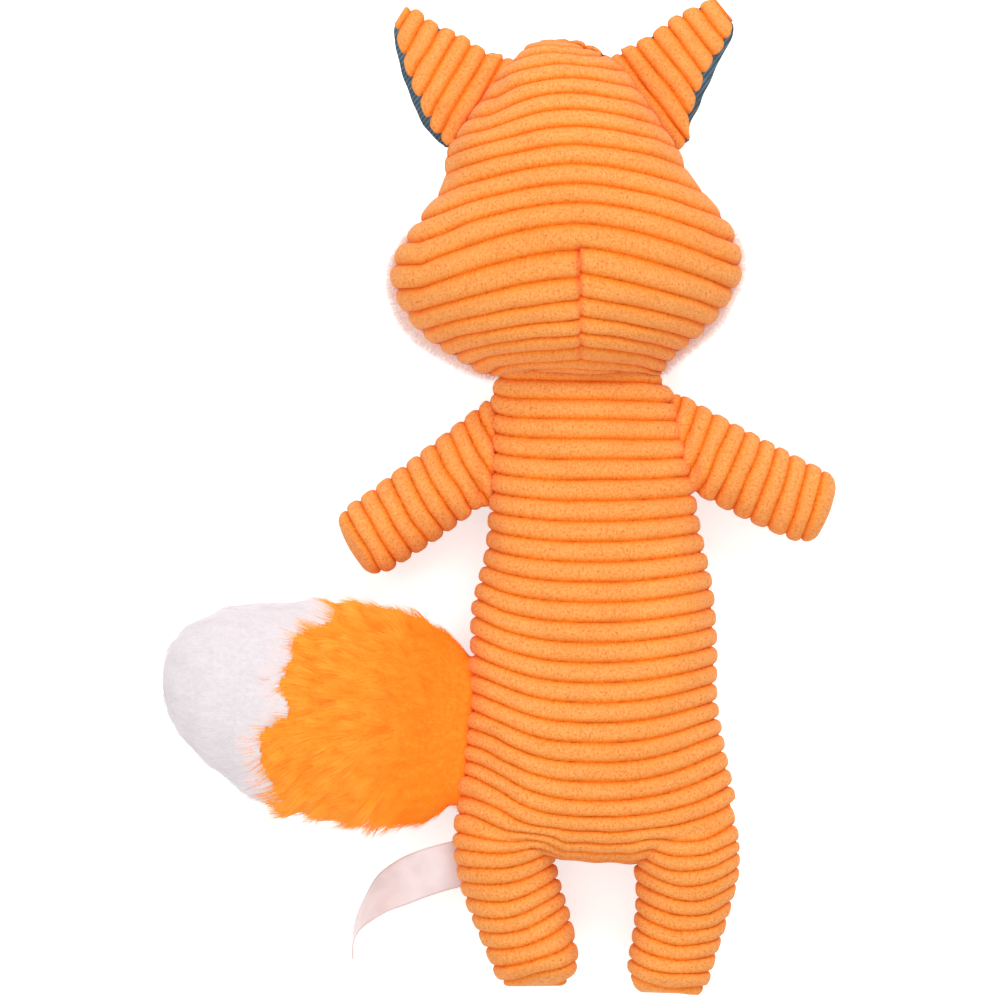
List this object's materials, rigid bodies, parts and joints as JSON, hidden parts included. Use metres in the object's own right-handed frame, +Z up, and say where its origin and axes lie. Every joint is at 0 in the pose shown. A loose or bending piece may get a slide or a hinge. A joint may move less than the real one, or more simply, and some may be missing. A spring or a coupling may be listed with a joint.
{
  "type": "plush fox dog toy",
  "caption": "Fox-shaped plush dog toy in orange corduroy, lying on its front, with jointed head, arms, legs, ears and a thick fur tail",
  "frame": {"origin": "on the surface that the toy lies on, under the middle of its box", "axes": "+X to the right as seen from above, +Y to the head, +Z up out of the toy's back"},
  "size_m": [0.224, 0.3319, 0.0752],
  "materials": {
    "orange_corduroy": "wide-wale corduroy plush, soft and matt",
    "white_plush": "white plush with a short fluffy pile",
    "orange_fur": "long-pile faux fur, silky",
    "white_fur": "long-pile faux fur, silky",
    "navy_lining": "smooth velour with a slight sheen",
    "black_embroidery": "satin-stitched thread",
    "label_satin": "woven satin ribbon, bare",
    "filling": "polyester fibre filling",
    "squeaker_plastic": "blow-moulded soft plastic"
  },
  "bodies": {
    "torso": {"torso_back_panel": "orange_corduroy", "torso_front_panel": "orange_corduroy", "squeaker_bellows": "squeaker_plastic", "squeaker_whistle": "squeaker_plastic", "squeaker_reed": "squeaker_plastic", "torso_filling": "filling"},
    "head": {"head_back_panel": "orange_corduroy", "cheek_left": "white_plush", "cheek_right": "white_plush", "forehead_panel": "orange_corduroy", "head_filling": "filling", "muzzle_panel": "white_plush", "muzzle_filling": "filling", "nose": "black_embroidery", "eye_left": "black_embroidery", "eye_right": "black_embroidery"},
    "ear_left": {"ear_left_back": "orange_corduroy", "ear_left_lining": "navy_lining"},
    "ear_right": {"ear_right_back": "orange_corduroy", "ear_right_lining": "navy_lining"},
    "arm_left": {"arm_left_back_panel": "orange_corduroy", "arm_left_front_panel": "orange_corduroy", "arm_left_filling": "filling"},
    "arm_right": {"arm_right_back_panel": "orange_corduroy", "arm_right_front_panel": "orange_corduroy", "arm_right_filling": "filling"},
    "leg_left": {"leg_left_back_panel": "orange_corduroy", "leg_left_front_panel": "orange_corduroy", "leg_left_filling": "filling"},
    "leg_right": {"leg_right_back_panel": "orange_corduroy", "leg_right_front_panel": "orange_corduroy", "leg_right_filling": "filling"},
    "tail": {"tail_back_fur": "orange_fur", "tail_tip_back_fur": "white_fur", "tail_front_fur": "orange_fur", "tail_tip_front_fur": "white_fur", "tail_filling": "filling"},
    "label": {"satin_label": "label_satin"}
  },
  "joints": [
    {"name": "neck", "type": "hinge", "parent": "torso", "child": "head", "pos_m": [0.0277, 0.0348, 0.023], "axis": [1, 0, 0], "range_deg": [-28, 28]},
    {"name": "shoulder_left", "type": "hinge", "parent": "torso", "child": "arm_left", "pos_m": [-0.00901, 0.01241, 0.023], "axis": [0.0274, 0.9996, 0], "range_deg": [-45, 60]},
    {"name": "shoulder_right", "type": "hinge", "parent": "torso", "child": "arm_right", "pos_m": [0.06654, 0.01578, 0.023], "axis": [0.1477, -0.989, 0], "range_deg": [-45, 60]},
    {"name": "hip_left", "type": "hinge", "parent": "torso", "child": "leg_left", "pos_m": [0.0323, -0.0997, 0.023], "axis": [1, 0, 0], "range_deg": [-40, 40]},
    {"name": "hip_right", "type": "hinge", "parent": "torso", "child": "leg_right", "pos_m": [0.0323, -0.0997, 0.023], "axis": [1, 0, 0], "range_deg": [-40, 40]},
    {"name": "ear_left", "type": "hinge", "parent": "head", "child": "ear_left", "pos_m": [-0.00895, 0.13307, 0.038], "axis": [0.5056, 0.8628, 0], "range_deg": [-50, 50], "stiffness_Nm_per_rad": 0.01},
    {"name": "ear_right", "type": "hinge", "parent": "head", "child": "ear_right", "pos_m": [0.05299, 0.13346, 0.038], "axis": [0.6171, -0.7869, 0], "range_deg": [-50, 50], "stiffness_Nm_per_rad": 0.01},
    {"name": "tail", "type": "hinge", "parent": "torso", "child": "tail", "pos_m": [-0.01518, -0.07935, 0.023], "axis": [0.1242, 0.9923, 0], "range_deg": [-45, 45]},
    {"name": "label", "type": "hinge", "parent": "leg_left", "child": "label", "pos_m": [-0.01384, -0.12187, 0.02023], "axis": [-0.1964, 0.9805, 0], "range_deg": [-35, 60]}
  ]
}
